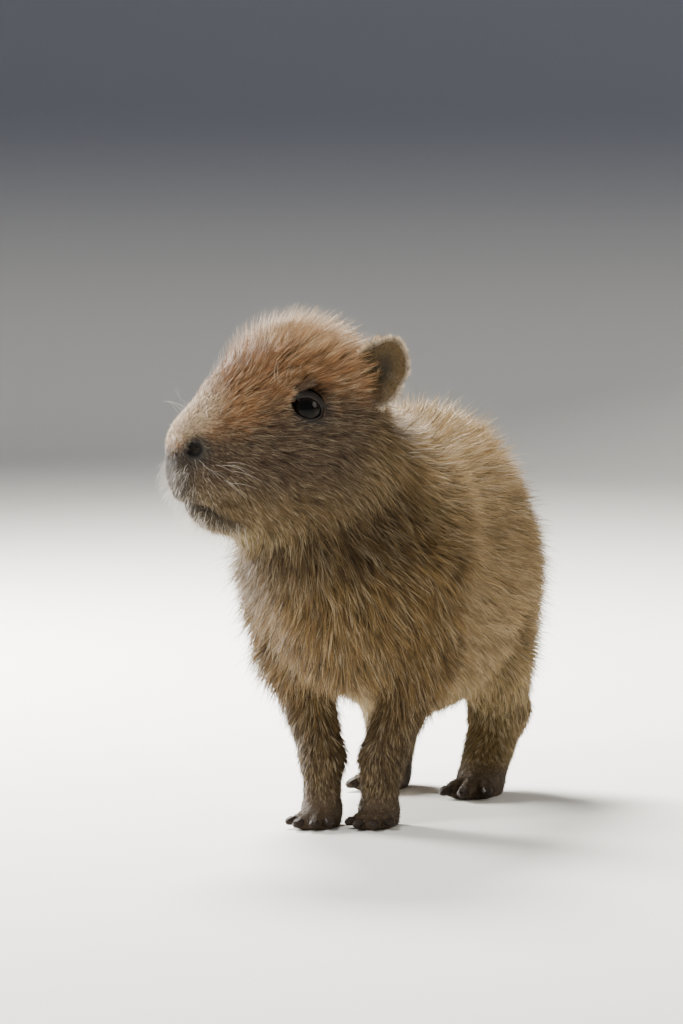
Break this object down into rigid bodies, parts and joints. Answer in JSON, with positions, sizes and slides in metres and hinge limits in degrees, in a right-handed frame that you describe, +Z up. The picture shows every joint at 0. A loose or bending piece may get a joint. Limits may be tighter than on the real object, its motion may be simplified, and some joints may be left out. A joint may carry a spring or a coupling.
{
  "type": "capybara pup",
  "caption": "Life-size standing young capybara, head turned to its right, as a still museum-type animal model with a short coat.",
  "frame": {"origin": "middle of the bounding box, on the floor", "axes": "+Z up, the body points along -Y, +X is the animal's left"},
  "size_m": [0.1074, 0.2484, 0.2014],
  "materials": {
    "body_coat": "short fur, sandy brown",
    "head_coat": "short fur, reddish brown",
    "leg_coat": "short fur, dark brown",
    "ear_coat": "thin skin with short hair",
    "foot_skin": "sparsely haired dark skin",
    "eye": "wet, near black",
    "claw": "dark horn"
  },
  "bodies": {
    "root": {"claw_front_left_1": "claw", "claw_front_left_2": "claw", "claw_front_left_3": "claw", "claw_front_left_4": "claw", "claw_front_right_1": "claw", "claw_front_right_2": "claw", "claw_front_right_3": "claw", "claw_front_right_4": "claw", "claw_hind_left_1": "claw", "claw_hind_left_2": "claw", "claw_hind_left_3": "claw", "claw_hind_right_1": "claw", "claw_hind_right_2": "claw", "claw_hind_right_3": "claw", "ear_left": "ear_coat", "ear_right": "ear_coat", "eye_left": "eye", "eye_right": "eye", "front_foot_left": "foot_skin", "front_foot_right": "foot_skin", "front_leg_left": "leg_coat", "front_leg_right": "leg_coat", "head": "head_coat", "hind_foot_left": "foot_skin", "hind_foot_right": "foot_skin", "hind_leg_left": "leg_coat", "hind_leg_right": "leg_coat", "neck": "body_coat", "torso": "body_coat"}
  },
  "joints": []
}
